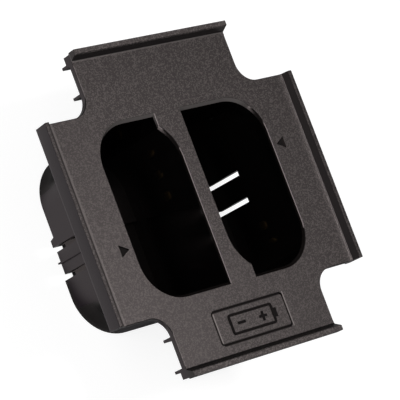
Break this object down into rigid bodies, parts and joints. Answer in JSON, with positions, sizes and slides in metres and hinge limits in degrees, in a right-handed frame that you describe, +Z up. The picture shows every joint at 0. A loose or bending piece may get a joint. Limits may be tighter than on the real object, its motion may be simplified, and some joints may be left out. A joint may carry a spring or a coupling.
{
  "type": "camera battery charging plate",
  "caption": "Cross-shaped moulded charging plate with side-by-side keyed battery bays, raised borders, slotted spring latches and gold blade contacts, for a camera battery charger.",
  "frame": {"origin": "on the vertical axis midway between the two bays, at the level of the bay undersides", "axes": "+Z up out of the bays, +Y along the bays away from the name panel, +X across the divider"},
  "size_m": [0.0684, 0.0718, 0.0273],
  "materials": {
    "moulding": "black moulded plastic, fine spark texture on the top face, smooth elsewhere",
    "board": "dark green laminate under a lacquer",
    "contact": "gold flash over stamped brass"
  },
  "bodies": {
    "root": {"charging_plate": "moulding", "left_contact_board": "board", "right_contact_board": "board", "left_positive_contact": "contact", "left_sense_contact": "contact", "left_negative_contact": "contact", "right_positive_contact": "contact", "right_sense_contact": "contact", "right_negative_contact": "contact"}
  },
  "joints": []
}
